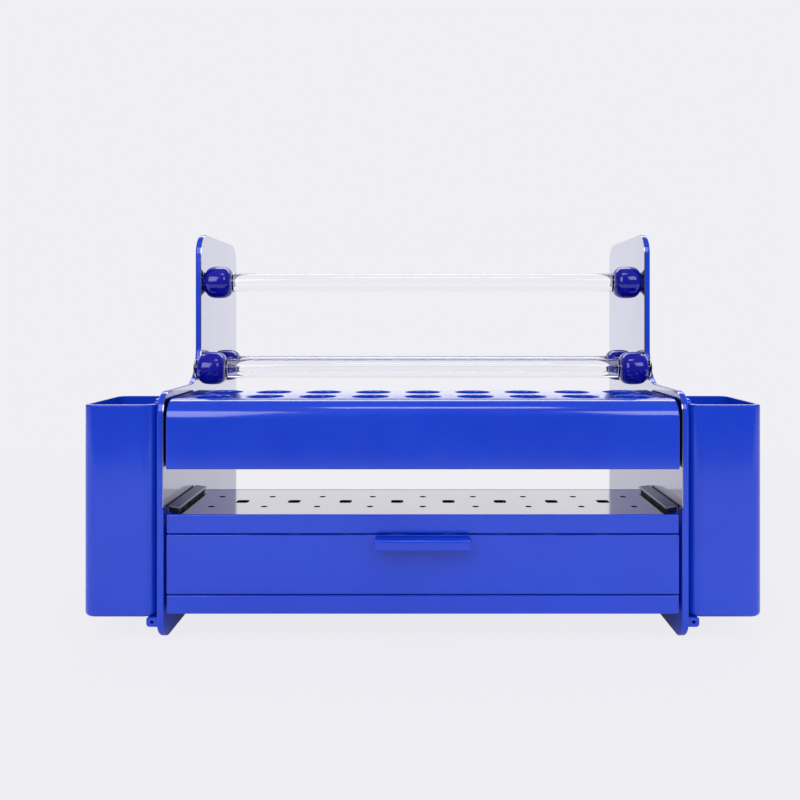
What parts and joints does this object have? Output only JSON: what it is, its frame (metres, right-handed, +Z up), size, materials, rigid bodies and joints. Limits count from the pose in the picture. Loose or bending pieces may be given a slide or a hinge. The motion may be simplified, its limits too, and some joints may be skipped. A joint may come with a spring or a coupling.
{
  "type": "hobby workstation organizer",
  "caption": "Bench tool organizer with a holed tool tray, a perforated steel shelf over a pull-out drawer, clear reel rods and hang-on side cups.",
  "frame": {"origin": "on the table, under the middle of the whole organizer's box with the drawer shut", "axes": "+X to the viewer's right along the tray, +Y to the back, +Z up"},
  "size_m": [0.3138, 0.156, 0.1943],
  "materials": {
    "blue_plastic": "moulded ABS, glossy",
    "navy_plastic": "moulded, glossy",
    "polished_steel": "polished stainless sheet",
    "strip_steel": "brushed dark steel",
    "screw_steel": "zinc plated",
    "clear_acrylic": "clear polished acrylic"
  },
  "bodies": {
    "root": {"left_side_frame": "blue_plastic", "right_side_frame": "blue_plastic", "left_inner_panel": "polished_steel", "right_inner_panel": "polished_steel", "top_tray": "blue_plastic", "shelf_plate": "polished_steel", "left_shelf_strip": "strip_steel", "right_shelf_strip": "strip_steel", "left_strip_bar": "navy_plastic", "right_strip_bar": "navy_plastic", "cabinet_shell": "blue_plastic", "base_tray": "blue_plastic", "left_runner": "blue_plastic", "right_runner": "blue_plastic", "left_cup_rail": "blue_plastic", "right_cup_rail": "blue_plastic", "tray_screws": "screw_steel", "cabinet_screws": "screw_steel", "base_screws": "screw_steel"},
    "drawer": {"drawer_front": "blue_plastic", "drawer_box": "blue_plastic", "drawer_bottom": "blue_plastic", "drawer_pull": "blue_plastic"},
    "left_cup": {"left_cup": "blue_plastic"},
    "right_cup": {"right_cup": "blue_plastic"},
    "upper_reel": {"upper_rod": "clear_acrylic", "left_upper_knob": "navy_plastic", "right_upper_knob": "navy_plastic"},
    "front_reel": {"front_rod": "clear_acrylic", "left_front_knob": "navy_plastic", "right_front_knob": "navy_plastic"},
    "rear_reel": {"rear_rod": "clear_acrylic", "left_rear_knob": "navy_plastic", "right_rear_knob": "navy_plastic"}
  },
  "joints": [
    {"name": "drawer_slide", "type": "slide", "parent": "root", "child": "drawer", "axis": [0, -1, 0], "range_m": [0, 0.0467]},
    {"name": "left_cup_lift", "type": "slide", "parent": "root", "child": "left_cup", "axis": [0, 0, 1], "range_m": [0, 0.09]},
    {"name": "right_cup_lift", "type": "slide", "parent": "root", "child": "right_cup", "axis": [0, 0, 1], "range_m": [0, 0.09]},
    {"name": "upper_rod_spin", "type": "hinge", "parent": "root", "child": "upper_reel", "pos_m": [0, 0.003, 0.168], "axis": [1, 0, 0], "continuous": true},
    {"name": "front_rod_spin", "type": "hinge", "parent": "root", "child": "front_reel", "pos_m": [0, -0.0112, 0.122], "axis": [1, 0, 0], "continuous": true},
    {"name": "rear_rod_spin", "type": "hinge", "parent": "root", "child": "rear_reel", "pos_m": [0, 0.0205, 0.122], "axis": [1, 0, 0], "continuous": true}
  ]
}
